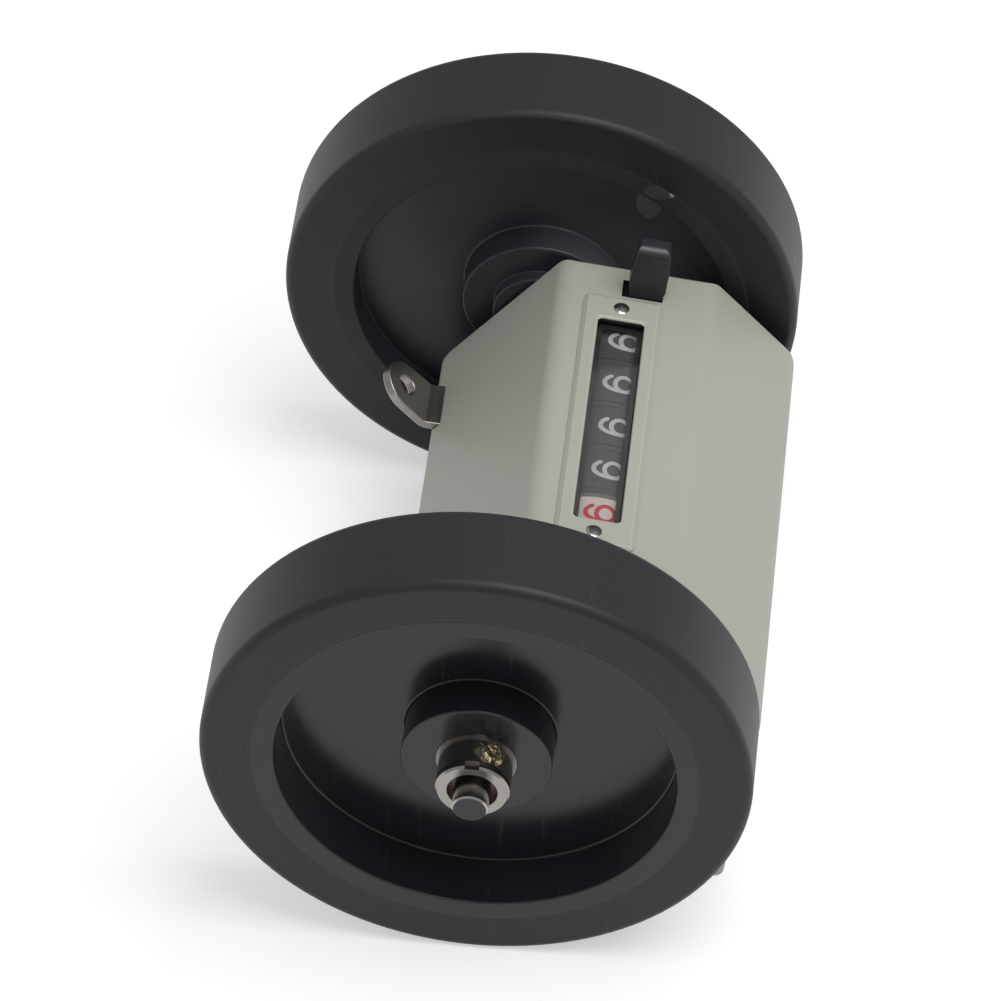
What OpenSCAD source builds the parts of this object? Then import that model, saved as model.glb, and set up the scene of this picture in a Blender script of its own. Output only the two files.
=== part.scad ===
// Cable length counter: two measuring wheels turn one shaft, and a five-figure counter in the housing
// between them shows the length in metres and tenths.
// X runs along the shaft, Z is up, and the origin is the middle of the shaft.
// Most sizes are given in the housing's own directions, y across and z up, before it leans to rest.

/* [Wheels] */
// Outside diameter of a wheel, a third of a metre round
wheel_d = 106; // [98:0.5:110]
// Width of a wheel
wheel_w = 19.5; // [17:0.5:22]
// Room between a wheel and the housing
wheel_gap = 3.6; // [3.4:0.1:6]
// Thickness of the tyre
tyre_t = 10; // [8:0.5:12]
// Thickness of the rim under the tyre
rim_t = 4.4; // [3:0.2:6]
// Diameter of the wheel's hub on the outside
hub_d = 29.1; // [25:0.1:32]
// Thickness of the web between hub and rim
web_t = 1.8; // [1.2:0.2:3]
// How far the hub stands back from the outer side of the rim
hub_back = 3.1; // [1.5:0.1:5]
// Rounding of the tyre's edges
tyre_round = 1.8; // [0.6:0.2:3]

/* [Housing] */
// Length of the housing along the shaft
housing_l = 100.8; // [98:0.2:110]
// Height of the flat top above the shaft
top_z = 18.2; // [17.9:0.1:20]
// Front edge of the flat top
top_front_y = 3.2; // [2:0.2:4]
// Rear edge of the flat top
top_rear_y = 34; // [33:0.5:37]
// Lower end of the front slope, across
front_y = -18; // [-19:0.2:-17.5]
// Lower end of the front slope, up
front_z = -16.5; // [-17:0.1:-16]
// Rear wall, across
rear_y = 53.6; // [52:0.2:56]
// Upper end of the rear wall
rear_z = 0.6; // [-3:0.2:2]
// Depth of the open bottom below the shaft
base_depth = 46.3; // [45:0.5:48]
// Lower end of the front wall, across
foot_y = -12.5; // [-13.5:0.25:-11.5]
// Thickness of the cover's walls
wall_t = 1.2; // [1:0.1:1.5]
// Thickness of the cover's end walls
end_wall_t = 2.3; // [2:0.1:2.5]

/* [Window] */
// Front edge of the window opening
window_y = 11.3; // [10.8:0.1:12]
// Width of the window opening
window_w = 9.4; // [8:0.1:9.8]
// Room between the housing's end and the window opening, on the key's side
window_gap = 16.2; // [16:0.1:17]
// Length of the window opening
window_l = 55; // [53:0.5:56]
// Width of the frame's long sides
frame_side = 3.4; // [2:0.1:3.6]
// Width of the frame's short ends, which carry the rivets
frame_end = 6.9; // [6:0.1:7]
// Height of the frame above the housing
frame_t = 1; // [0.8:0.1:1.6]
// Diameter of a rivet's head
rivet_d = 3.2; // [2.6:0.1:3.8]

/* [Counter] */
// Radius of a number wheel
drum_r = 13.4; // [12.9:0.1:13.5]
// Distance from one number wheel to the next
drum_pitch = 11.9; // [11.5:0.05:12.1]
// Room between the bands of two number wheels
band_gap = 1.5; // [1.3:0.05:1.8]
// Number wheels' shaft, across
drum_y = 16.6; // [16.5:0.05:17]
// Number wheels' shaft, up
drum_z = 2; // [1.9:0.05:2.1]

/* [Reset key] */
// Key's pivot, across
key_y = 20.3; // [20.2:0.05:20.4]
// Key's pivot, up
key_z = 14.2; // [14:0.05:14.3]
// Thickness of the key
key_t = 4.35; // [3.8:0.05:4.4]
// Height of the key's top
key_top = 31.5; // [29:0.1:33]

/* [Bracket] */
// Middle of a bracket ear, from the housing's end
ear_in = 15.7; // [15.2:0.05:16.4]
// Width of an ear
ear_w = 10.8; // [9.6:0.1:10.8]
// Thickness of the bracket strip
strip_t = 1.8; // [1.4:0.1:1.9]
// Upper face of the strip
strip_z = -14.2; // [-14.4:0.05:-14.1]
// Angle that an ear rises at
ear_rise = 42.4; // [30:0.2:50]
// Bend to the middle of the ear's hole
ear_reach = 5.8; // [5.4:0.1:9]
// Diameter of the hole in an ear
ear_hole_d = 4.5; // [4:0.1:5.2]

/* [Shaft] */
// Diameter of the main shaft
shaft_d = 7; // [6.4:0.1:7.2]
// Shaft's end beyond the outer face of a wheel
shaft_out = 8.85; // [6:0.05:12]
// Outside diameter of a wheel's collar
collar_d = 14.3; // [13:0.1:15]
// Collar beyond the outer face of the hub
collar_out = 7.5; // [6:0.1:9]

/* [Hidden] */
$fn = 64;
over = 1;          // overrun of a cut
arc_steps = 8;     // straight pieces in a rounded corner
run_fit = 0.05;    // radial clearance of a bearing
end_play = 0.15;   // room at the end of a piece that turns

// colours
paint = "#a9aaa1";
black = "#1d1e20";
tyre_black = "#2b2c30";
plate_metal = "#a7a9ac";
bronze = "#a8824a";
figure_white = "#e6d9d4";
clear_tint = "#9fb4b8";

// wheels
wheel_r = wheel_d / 2;
wheel_in = housing_l / 2 + wheel_gap;
wheel_out = wheel_in + wheel_w;
core_r = wheel_r - tyre_t;
recess_r = core_r - rim_t;
hub_out = wheel_out - hub_back;
web_in = 7.5;            // middle of the web from the housing's side
web_mid = wheel_in + web_in;
hub_fillet = 0.45;
hub_edge = 0.35;
hub_in_r = hub_d / 2 + 1.6;
collar_r = collar_d / 2;
hub_boss_r = 9.6;
hub_boss_out = 2.7;      // hub's boss beyond the rim, on the housing's side
disc_r = 7.8;
disc_t = 0.5;
push_fit = 0.01;         // radial clearance of a hub bush on the shaft
collar_groove = 0.5;
collar_groove_w = 0.5;
collar_end = 1.1;        // width of the collar's end ring
ring_gap_w = 2.8;        // gap in the end ring
ring_gap_deep = 0.7;
collar_bore_r = 4.9;
collar_bore_deep = 2.6;
edge_break = 0.4;
set_screw_x = 3.1;       // set screw from the hub's outer face
set_screw_r = 2.4;
set_screw_out = 0.7;
set_screw_edge = 0.5;
set_slot_w = 1;
set_slot_deep = 0.8;
set_screw_turn = 60;     // from +Y towards +Z
slot_w = 0.6;
slot_deep = 0.5;

// shaft
shaft_r = shaft_d / 2;
waist_r = 3;
waist_inset = 2.9;
shaft_end = wheel_out + shaft_out;
shaft_chamfer = 0.35;
bush_wall = 1.5;
bush_r = shaft_r + bush_wall;
bush_flange_gap = 0.1;   // bush's flange to the front slope's inner side
bush_flange_t = 0.9;
boss_wall = 3;
boss_share = 0.25;       // bearing boss's share of the room beyond the near side plate
thrust_gap = 0.2;

// housing section, clockwise from the lower end of the front slope
section = [
    [front_y, front_z], [top_front_y, top_z], [top_rear_y, top_z],
    [rear_y, rear_z], [rear_y, -base_depth], [foot_y, -base_depth]
];
corner_r = [2.5, 4.5, 6, 5, 0, 0];
plan_round = 2;          // rounding of the upright edges
end_round = 1;           // rounding of the top's short ends
base_reach = norm([rear_y, base_depth]);
rest_tilt = asin(wheel_r / base_reach) - atan2(base_depth, rear_y);
inner_x = housing_l / 2 - end_wall_t;
slope_reach = abs(cross(section[0], section[1])) / norm(section[1] - section[0]);
bush_flange_r = slope_reach - wall_t - bush_flange_gap;

// base
base_t = 2;
base_top = base_t - base_depth;
base_fit = 0.15;
base_boss_r = 3.6;
base_boss_h = 12;
base_boss_inset = 2.7;
base_boss_margin = 6.1;
base_boss_x = inner_x - base_boss_inset;
base_boss_front = foot_y + base_boss_margin;
base_boss_rear = rear_y - base_boss_margin;
base_screw_r = 1.3;
screw_head_r = 2.6;
screw_head_t = 1.2;
screw_bite = 7;          // screw in the metal beyond the plate that it holds

// frame and window
window_x = window_gap - housing_l / 2;
frame_x = window_x - frame_end;
frame_l = window_l + 2 * frame_end;
frame_y = window_y - frame_side;
frame_w = window_w + 2 * frame_side;
frame_round = 2.2;
frame_slope = 1;          // width of the frame's sloped outer edges
frame_foot = 0.2;        // upright edge under the slope
frame_bevel = 0.3;
window_round = 0.8;
rivet_off = 3.3;          // rivet from the end of the window opening
rivet_xs = [window_x - rivet_off, window_x + window_l + rivet_off];
rivet_shift = 0.3;
rivet_y = window_y + window_w / 2 - rivet_shift;
rivet_h = 0.5;
rivet_shank_r = 0.8;
rivet_tail_r = 1.3;
rivet_tail_t = 0.5;
cover_lap = 0.8;          // cover's opening beyond the frame's
lens_t = 0.7;
lens_lap = 1.8;

// number wheels
band_w = drum_pitch - band_gap;
drum_hub_gap = 0.1;
drum_hub_w = drum_pitch - drum_hub_gap;
plate_in = 9.5;          // far side plate from the housing's end
plate_t = 1.2;
plate_gap = 2.1;
far_plate_x = plate_in - housing_l / 2;
drum_xs = [for (k = [0 : 4]) far_plate_x + plate_t + plate_gap + drum_hub_w / 2 + k * drum_pitch];
drum_turn = atan2(drum_z, drum_y);
gear_reach = norm([drum_y, drum_z]);
band_t = 1.2;
drum_web_t = 1.2;
drum_hub_r = 4;
drum_axle_r = 2;
ring_t = band_gap / 2;
cam_share = 0.43;        // heart cam's share of the room between two bands
cam_t = cam_share * band_gap;
cam_low_r = 5;
cam_high_r = 11.6;
cam_steps = 60;
figure_step = 36;
figure_shown = 9;

// gears: teeth, and head, foot and play as shares of the module or in mm
pinion_teeth = 14;
gear_teeth = 42;
drive_module = 2 * gear_reach / (pinion_teeth + gear_teeth);
drive_head = 0.9;
gear_head = 0.85;
drive_foot = 1.15;
drive_play = 0.05;
gear_x = drum_xs[4] + drum_hub_w / 2;
gear_t = 2.4;
gear_hub_r = 5;
pinion_side = 0.4;
ring_teeth = 20;
carry_teeth = 8;
carry_module = 1.2;
carry_head = 0.75;
ring_head = 0.6;
carry_foot = 1;
carry_play = 0.1;
flank_deg = 20;
flank_steps = 3;
carry_reach = carry_module * (ring_teeth + carry_teeth) / 2;
carry_turn = -60;
carry_y = drum_y + carry_reach * cos(carry_turn);
carry_z = drum_z + carry_reach * sin(carry_turn);
carry_side = 0.1;
carry_hub_r = 1.9;
pinion_axle_r = 1;
pinion_hub_w = drum_pitch - end_play;

// side plates of the counter
near_plate_x = gear_x + gear_t + plate_gap;
boss_in = end_wall_t + boss_share * (inner_x - near_plate_x - plate_t);
waist_from = far_plate_x + waist_inset;
waist_to = gear_x - pinion_side - end_play;
plate_inset = 1;
plate_front_y = -2.4;
plate_rear_y = 43;
plate_shaft_gap = 0.4;
plate_foot_w = 9;
foot_front = 2;
foot_screw_ys = [4, 36];
rod_r = 2.2;
rod_spots = [[2.5, -34], [39, -30], [40.5, -9]];
clip_r = 3.2;
clip_t = 0.7;

// rocker that the key works
rocker_y = 35;
rocker_z = 7;
rocker_r = 1.6;
rocker_collar_r = 2.5;
rocker_collar_t = 1.5;
finger_share = 0.7;      // finger's share of the heart cam's thickness
finger_t = finger_share * cam_t;
finger_w = 2;
finger_turn = -25;
finger_gap = 0.5;        // finger's tip outside the number wheel, at rest
finger_elbow_out = 4;
finger_reach = drum_r + finger_gap + finger_w / 2;
arm_w = 2.6;
rocker_toe = [26, 11.4];
rocker_boss_r = 2.8;

// key
key_room = 1.25;         // key from the far side plate
key_x = far_plate_x - key_room;
key_tail = [25.6, 7.5];
key_hub_r = 2.3;
key_pin_r = 1.1;
key_round = 2;
key_edge = 0.8;
key_slot_y = 15.4;
key_slot_w = 8.4;
key_slot_gap = 0.25;
key_outline = [
    [18.6, 14.6], [17, 18.2], [16.4, 21.4], [17, key_top], [23.4, key_top], [24, 26.6],
    [24, 20.4], [23.2, 18], [22, 14.6]
];
key_rounds = [0, 0.5, 1.5, 0.8, 1.4, 2, 1, 0.5, 0];
spring_wire = 0.5;
spring_r = 1.85;
spring_turns = 0.75;
spring_gap = 0.1;
spring_leg = 5;
spring_steps = 16;
spring_sides = 8;

// bracket
bend_y = -19;
bend_r = 1.5;
strip_rear_y = -7.6;
strip_front_y = -14.5;
notch_gap = 0.2;
ear_x = housing_l / 2 - ear_in;
pillar_y = -11.2;
pillar_r = 3;
pillar_top = 6;
bracket_screw_r = 1.3;

// Unit vector from a to b
function unit(a, b) = (b - a) / norm(b - a);

// Outline with each corner rounded by its own radius
function rounded(pts, radii) = [
    for (i = [0 : len(pts) - 1])
        let (
            n = len(pts),
            p = pts[i],
            u = unit(p, pts[(i + n - 1) % n]),
            v = unit(p, pts[(i + 1) % n])
        )
        each radii[i] == 0 ? [p] : corner_arc(p, u, v, radii[i])
];
function corner_arc(p, u, v, r) =
    let (
        half = acos(u * v) / 2,
        c = p + (u + v) / norm(u + v) * r / sin(half),
        from = p + u * r / tan(half) - c,
        a0 = atan2(from[1], from[0]),
        side = cross(u, v) > 0 ? 1 : -1,
        sweep = side * (180 - 2 * half)
    )
    [for (k = [0 : arc_steps]) c + polar(r, a0 - sweep * k / arc_steps)];

// Clockwise outline moved inwards, each side by its own distance
function inset(pts, by) = [
    for (i = [0 : len(pts) - 1])
        let (
            n = len(pts),
            a = unit(pts[(i + n - 1) % n], pts[i]),
            b = unit(pts[i], pts[(i + 1) % n]),
            da = by[(i + n - 1) % n],
            det = cross([a[1], -a[0]], [b[1], -b[0]])
        )
        pts[i] + [-da * b[0] + by[i] * a[0], by[i] * a[1] - da * b[1]] / det
];

// Rectangle's corners, for rounded(), and a rectangle with one radius all round
function box_points(x, y, w, h) = [[x, y], [x, y + h], [x + w, y + h], [x + w, y]];
function soft_box(x, y, w, h, r) = rounded(box_points(x, y, w, h), [r, r, r, r]);

// Involute gear's outline, a tooth centred on the first axis
function involute(a) = tan(a) * 180 / PI - a;
function tooth_half(teeth, rp, rb, r, play) =
    90 / teeth - play / rp * 180 / PI + involute(flank_deg) - involute(acos(min(1, rb / max(r, rb))));
function gear_points(teeth, m, head, foot, play) =
    let (
        rp = m * teeth / 2,
        rb = rp * cos(flank_deg),
        root = rp - foot * m,
        low = max(rb, root),
        radii = concat([root], [for (k = [0 : flank_steps]) low + (rp + head * m - low) * k / flank_steps])
    )
    [
        for (i = [0 : teeth - 1], s = [-1, 1], j = [0 : len(radii) - 1])
            let (r = s < 0 ? radii[j] : radii[len(radii) - 1 - j])
            polar(r, i * 360 / teeth + s * tooth_half(teeth, rp, rb, r, play))
    ];
function polar(r, a) = [r * cos(a), r * sin(a)];

// Heart cam's outline: the radius grows evenly from the low point round both sides
function heart_points(low_at) = [
    for (k = [0 : cam_steps - 1])
        let (a = -180 + 360 * k / cam_steps)
        polar(cam_low_r + (cam_high_r - cam_low_r) * abs(a) / 180, low_at + a)
];

module in_housing() rotate([-rest_tilt, 0, 0]) children();

// A flat shape in y and z, drawn out along X
module along_x(from, length) translate([from, 0, 0]) rotate([90, 0, 90]) linear_extrude(length) children();

module rod_x(from, length, r, at = [0, 0])
    translate([from, at[0], at[1]]) rotate([0, 90, 0]) cylinder(length, r = r);

// A profile of radius and place along X, turned round X
module turned_x(at = [0, 0]) translate([0, at[0], at[1]]) rotate([0, 90, 0]) rotate_extrude() children();

// A bar with round ends between two points
module bar(p, q, w) {
    n = [unit(p, q)[1], -unit(p, q)[0]] * w / 2;
    polygon([p + n, q + n, q - n, p - n]);
    for (c = [p, q]) translate(c) circle(w / 2);
}

// A pan-head screw that points up, its head's seat at the origin
module screw_up(r, length) {
    difference() {
        translate([0, 0, -screw_head_t]) cylinder(screw_head_t, r = screw_head_r);
        translate([-screw_head_r - over, -slot_w / 2, -screw_head_t - over])
            cube([2 * (screw_head_r + over), slot_w, slot_deep + over]);
    }
    cylinder(length, r = r);
}

module both_ends() for (s = [0, 1]) mirror([s, 0, 0]) children();

// Housing, frame and window

outer_outline = rounded(section, corner_r);
cavity_outline = rounded(
    inset(section, [wall_t, wall_t, wall_t, wall_t, -over, wall_t]),
    [for (r = corner_r) max(0, r - wall_t)]
);

// A flat shape in x and z, drawn out along Y through the housing
module across(from, to) translate([0, to, 0]) rotate([90, 0, 0]) linear_extrude(to - from) children();

module housing_block() intersection() {
    along_x(-housing_l / 2, housing_l) polygon(outer_outline);
    translate([0, 0, -base_depth - over]) linear_extrude(base_depth + top_z + 2 * over)
        polygon(soft_box(-housing_l / 2, front_y, housing_l, rear_y - front_y, plan_round));
    across(front_y - over, rear_y + over) polygon(rounded(
        box_points(-housing_l / 2, -base_depth, housing_l, base_depth + top_z),
        [0, end_round, end_round, 0]
    ));
}

module base_spots() for (sx = [-1, 1], y = [base_boss_front, base_boss_rear])
    translate([sx * base_boss_x, y, 0]) children();
module pillar_spots() for (sx = [-1, 1]) translate([sx * ear_x, pillar_y, strip_z]) children();

module housing_inside() {
    base_spots() translate([0, 0, base_top]) cylinder(base_boss_h, r = base_boss_r);
    pillar_spots() cylinder(pillar_top, r = pillar_r);
    both_ends() rod_x(housing_l / 2 - boss_in, boss_in, bush_r + boss_wall);
}

module housing_cover() color(paint) in_housing() difference() {
    union() {
        difference() {
            housing_block();
            along_x(-inner_x, 2 * inner_x) polygon(cavity_outline);
        }
        intersection() {
            housing_block();
            housing_inside();
        }
    }
    window_cut(top_z - wall_t - over, wall_t + 2 * over, cover_lap);
    translate([key_x + key_slot_gap - key_t - 2 * key_slot_gap, key_slot_y, top_z - wall_t - over])
        cube([key_t + 2 * key_slot_gap, key_slot_w, wall_t + 2 * over]);
    both_ends() translate([ear_x - ear_w / 2 - notch_gap, front_y - over, strip_z - strip_t - notch_gap])
        cube([ear_w + 2 * notch_gap, strip_front_y - front_y + over + notch_gap, strip_t + 2 * notch_gap]);
    rod_x(-housing_l / 2 - over, housing_l + 2 * over, bush_r);
    for (x = rivet_xs) translate([x, rivet_y, top_z - wall_t - over])
        cylinder(wall_t + 2 * over, r = rivet_shank_r);
    base_spots() translate([0, 0, base_top - over]) cylinder(screw_bite + over, r = base_screw_r);
    pillar_spots() translate([0, 0, -over]) cylinder(pillar_top / 2 + over, r = bracket_screw_r);
    rod_x(-inner_x - end_wall_t / 2, end_wall_t, key_pin_r, [key_y, key_z]);
}

module window_cut(from, height, lap = 0) translate([0, 0, from]) linear_extrude(height)
    polygon(soft_box(
        window_x - lap, window_y - lap, window_l + 2 * lap, window_w + 2 * lap, window_round + lap
    ));

module base_plate() color(paint) in_housing() difference() {
    translate([-inner_x + base_fit, foot_y + wall_t + base_fit, -base_depth])
        cube([2 * (inner_x - base_fit), rear_y - foot_y - 2 * (wall_t + base_fit), base_t]);
    base_spots() translate([0, 0, -base_depth - over]) {
        cylinder(base_t + 2 * over, r = base_screw_r);
        cylinder(screw_head_t + over, r = screw_head_r);
    }
    foot_spots() translate([0, 0, -base_depth - over]) cylinder(base_t + 2 * over, r = base_screw_r);
}

module base_screws() color(plate_metal) in_housing() base_spots()
    translate([0, 0, screw_head_t - base_depth]) screw_up(base_screw_r, base_t - screw_head_t + screw_bite);

// Section of a low block with sloped sides, from a to b
function sloped(a, b) = [
    [a, top_z], [a, top_z + frame_foot], [a + frame_slope, top_z + frame_t],
    [b - frame_slope, top_z + frame_t], [b, top_z + frame_foot], [b, top_z]
];

// Section of the cut that bevels the opening's edges, from a to b
function opened(a, b) = [
    [a, top_z + frame_t - frame_bevel], [a - frame_bevel, top_z + frame_t],
    [a - frame_bevel, top_z + frame_t + over], [b + frame_bevel, top_z + frame_t + over],
    [b + frame_bevel, top_z + frame_t], [b, top_z + frame_t - frame_bevel]
];

module bezel_frame() color(paint) in_housing() difference() {
    intersection() {
        translate([0, 0, top_z]) linear_extrude(frame_t)
            polygon(soft_box(frame_x, frame_y, frame_l, frame_w, frame_round));
        along_x(frame_x, frame_l) polygon(sloped(frame_y, frame_y + frame_w));
        across(frame_y, frame_y + frame_w) polygon(sloped(frame_x, frame_x + frame_l));
    }
    window_cut(top_z - over, frame_t + 2 * over);
    along_x(window_x, window_l) polygon(opened(window_y, window_y + window_w));
    across(window_y, window_y + window_w) polygon(opened(window_x, window_x + window_l));
    for (x = rivet_xs) translate([x, rivet_y, top_z - over]) cylinder(frame_t + 2 * over, r = rivet_shank_r);
}

module bezel_rivets() color(black) in_housing() for (x = rivet_xs) translate([x, rivet_y, 0]) {
    r = rivet_d / 2;
    dome_r = (r * r + rivet_h * rivet_h) / (2 * rivet_h);
    dome_deg = asin(r / dome_r);
    translate([0, 0, top_z + frame_t]) rotate_extrude()
        polygon(concat([[0, 0]], [
            for (k = [0 : arc_steps])
                let (a = dome_deg * (1 - k / arc_steps))
                [dome_r * sin(a), rivet_h - dome_r + dome_r * cos(a)]
        ]));
    translate([0, 0, top_z - wall_t]) cylinder(wall_t + frame_t, r = rivet_shank_r);
    translate([0, 0, top_z - wall_t - rivet_tail_t]) cylinder(rivet_tail_t, r = rivet_tail_r);
}

module window_lens() color(clear_tint, 0.5) in_housing()
    translate([window_x - lens_lap, window_y - lens_lap, top_z - wall_t - lens_t])
    cube([window_l + 2 * lens_lap, window_w + 2 * lens_lap, lens_t]);

// Mounting bracket: one strip inside the housing, with an ear at each end

module ear_plate() {
    c = [bend_y, strip_z + bend_r];
    along_x(ear_x - ear_w / 2, ear_w) polygon(concat(
        [for (k = [0 : arc_steps]) c + polar(bend_r + strip_t, -90 - ear_rise * k / arc_steps)],
        [for (k = [arc_steps : -1 : 0]) c + polar(bend_r, -90 - ear_rise * k / arc_steps)]
    ));
    translate([ear_x, c[0], c[1]]) rotate([-ear_rise, 0, 0]) translate([0, 0, -bend_r - strip_t])
        difference() {
            linear_extrude(strip_t) {
                translate([-ear_w / 2, -ear_reach]) square([ear_w, ear_reach]);
                translate([0, -ear_reach]) circle(ear_w / 2);
            }
            translate([0, -ear_reach, -over]) cylinder(strip_t + 2 * over, r = ear_hole_d / 2);
        }
}

module mounting_bracket() color(plate_metal) in_housing() difference() {
    union() {
        translate([-ear_x - ear_w / 2, strip_front_y, strip_z - strip_t])
            cube([2 * ear_x + ear_w, strip_rear_y - strip_front_y, strip_t]);
        both_ends() {
            translate([ear_x - ear_w / 2, bend_y, strip_z - strip_t])
                cube([ear_w, strip_front_y - bend_y, strip_t]);
            ear_plate();
        }
    }
    pillar_spots() translate([0, 0, -strip_t - over]) cylinder(strip_t + 2 * over, r = bracket_screw_r);
}

module bracket_screws() color(plate_metal) in_housing() pillar_spots()
    translate([0, 0, -strip_t]) screw_up(bracket_screw_r, strip_t + pillar_top / 2);

// Bearings and main shaft

module shaft_bushes() color(bronze) in_housing() both_ends() difference() {
    inner = housing_l / 2 - boss_in;
    union() {
        rod_x(inner, boss_in + wheel_gap - hub_boss_out - thrust_gap, bush_r);
        rod_x(inner - bush_flange_t, bush_flange_t, bush_flange_r);
    }
    rod_x(inner - bush_flange_t - over, boss_in + wheel_gap + bush_flange_t, shaft_r + run_fit);
}

module main_shaft() color(plate_metal) {
    turned_x() polygon([
        [0, -shaft_end], [shaft_r - shaft_chamfer, -shaft_end], [shaft_r, -shaft_end + shaft_chamfer],
        [shaft_r, waist_from], [waist_r, waist_from], [waist_r, waist_to], [shaft_r, waist_to],
        [shaft_r, shaft_end - shaft_chamfer], [shaft_r - shaft_chamfer, shaft_end], [0, shaft_end]
    ]);
    in_housing() along_x(gear_x - pinion_side, gear_t + 2 * pinion_side) rotate(drum_turn)
        polygon(gear_points(pinion_teeth, drive_module, drive_head, drive_foot, drive_play));
}

// Wheels

core_profile = rounded(
    [
        [collar_r, wheel_in - hub_boss_out], [hub_boss_r, wheel_in - hub_boss_out], [hub_boss_r, wheel_in],
        [hub_in_r, wheel_in], [hub_in_r, web_mid - web_t / 2], [recess_r, web_mid - web_t / 2],
        [recess_r, wheel_in], [core_r, wheel_in], [core_r, wheel_out], [recess_r, wheel_out],
        [recess_r, web_mid + web_t / 2], [hub_d / 2, web_mid + web_t / 2], [hub_d / 2, hub_out],
        [disc_r, hub_out], [disc_r, hub_out - disc_t], [collar_r, hub_out - disc_t]
    ],
    [
        0, hub_edge, 0, hub_edge, hub_fillet, hub_fillet, hub_edge, 0,
        0, hub_edge, hub_fillet, hub_fillet, hub_edge, 0, 0, 0
    ]
);

module wheel_core() turned_x() polygon(core_profile);

module wheel_tyre() turned_x() polygon(rounded(
    [[core_r, wheel_in], [wheel_r, wheel_in], [wheel_r, wheel_out], [core_r, wheel_out]],
    [0, tyre_round, tyre_round, 0]
));

module hub_bush() {
    end = hub_out + collar_out;
    ring = end - collar_end;
    bore_r = shaft_r + push_fit;
    difference() {
        turned_x() polygon([
            [bore_r, wheel_in - hub_boss_out], [collar_r, wheel_in - hub_boss_out],
            [collar_r, hub_out - disc_t], [disc_r, hub_out - disc_t], [disc_r, hub_out], [collar_r, hub_out],
            [collar_r, ring - collar_groove_w], [collar_r - collar_groove, ring - collar_groove_w],
            [collar_r - collar_groove, ring], [collar_r, ring], [collar_r, end - edge_break],
            [collar_r - edge_break, end], [collar_bore_r, end], [collar_bore_r, end - collar_bore_deep],
            [bore_r, end - collar_bore_deep]
        ]);
        at_set_screw() translate([0, 0, shaft_r - over])
            cylinder(collar_r, r = set_screw_r + push_fit);
        translate([ring - collar_groove_w / 2, -ring_gap_w / 2, collar_r - ring_gap_deep])
            cube([collar_end + over, ring_gap_w, ring_gap_deep + over]);
    }
}

module at_set_screw() translate([hub_out + set_screw_x, 0, 0]) rotate([set_screw_turn - 90, 0, 0]) children();

module near_wheel_core() color(black) wheel_core();
module far_wheel_core() color(black) mirror([1, 0, 0]) wheel_core();
module near_tyre() color(tyre_black) wheel_tyre();
module far_tyre() color(tyre_black) mirror([1, 0, 0]) wheel_tyre();
module near_hub_bush() color(plate_metal) hub_bush();
module far_hub_bush() color(plate_metal) mirror([1, 0, 0]) hub_bush();

module set_screws() color(bronze) both_ends() at_set_screw() {
    top = collar_r + set_screw_out;
    difference() {
        union() {
            translate([0, 0, shaft_r]) cylinder(top - set_screw_edge - shaft_r, r = set_screw_r);
            translate([0, 0, top - set_screw_edge])
                cylinder(set_screw_edge, r1 = set_screw_r, r2 = set_screw_r - set_screw_edge);
        }
        translate([-set_screw_r - over, -set_slot_w / 2, top - set_slot_deep])
            cube([2 * (set_screw_r + over), set_slot_w, set_slot_deep + over]);
    }
}

// Number wheels: band, web and hub, a ring gear on the near side and a heart cam on the far side

module drum_body(x) {
    b = band_w / 2;
    w = drum_web_t / 2;
    h = drum_hub_w / 2;
    translate([x, 0, 0]) turned_x([drum_y, drum_z]) polygon([
        [0, -h], [drum_hub_r, -h], [drum_hub_r, -w], [drum_r - band_t, -w], [drum_r - band_t, -b],
        [drum_r, -b], [drum_r, b], [drum_r - band_t, b], [drum_r - band_t, w], [drum_hub_r, w],
        [drum_hub_r, h], [0, h]
    ]);
    along_x(x - b - cam_t, cam_t) translate([drum_y, drum_z])
        polygon(heart_points(finger_turn - figure_step * figure_shown));
}

module drum_bore() rod_x(-housing_l / 2, housing_l, drum_axle_r + run_fit, [drum_y, drum_z]);

module number_wheel(i) color(black) in_housing() difference() {
    union() {
        drum_body(drum_xs[i]);
        along_x(drum_xs[i] + band_w / 2, ring_t) translate([drum_y, drum_z]) rotate(carry_turn)
            polygon(gear_points(ring_teeth, carry_module, ring_head, carry_foot, carry_play));
    }
    drum_bore();
}

module thousands_wheel() number_wheel(0);
module hundreds_wheel() number_wheel(1);
module tens_wheel() number_wheel(2);
module ones_wheel() number_wheel(3);

module tenths_wheel() color(figure_white) in_housing() difference() {
    drum_body(drum_xs[4]);
    drum_bore();
}

module tenths_gear() color(bronze) in_housing() difference() {
    union() {
        along_x(gear_x, gear_t) translate([drum_y, drum_z]) rotate(180 + drum_turn + 180 / gear_teeth)
            polygon(gear_points(gear_teeth, drive_module, gear_head, drive_foot, drive_play));
        rod_x(gear_x, near_plate_x - gear_x - end_play, gear_hub_r, [drum_y, drum_z]);
    }
    drum_bore();
}

// Carry pinions mesh with the ring gears from behind and below
module carry_pinion(i) color(bronze) in_housing() difference() {
    x = drum_xs[i] + band_w / 2 + ring_t / 2;
    face = ring_t - 2 * carry_side;
    union() {
        along_x(x - face / 2, face) translate([carry_y, carry_z])
            rotate(carry_turn + 180 + 180 / carry_teeth)
            polygon(gear_points(carry_teeth, carry_module, carry_head, carry_foot, carry_play));
        rod_x(x - pinion_hub_w / 2, pinion_hub_w, carry_hub_r, [carry_y, carry_z]);
    }
    rod_x(-housing_l / 2, housing_l, pinion_axle_r + run_fit, [carry_y, carry_z]);
}

module carry_pinion_1() carry_pinion(3);
module carry_pinion_2() carry_pinion(2);
module carry_pinion_3() carry_pinion(1);
module carry_pinion_4() carry_pinion(0);

// Counter's side plates and what holds them

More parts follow.
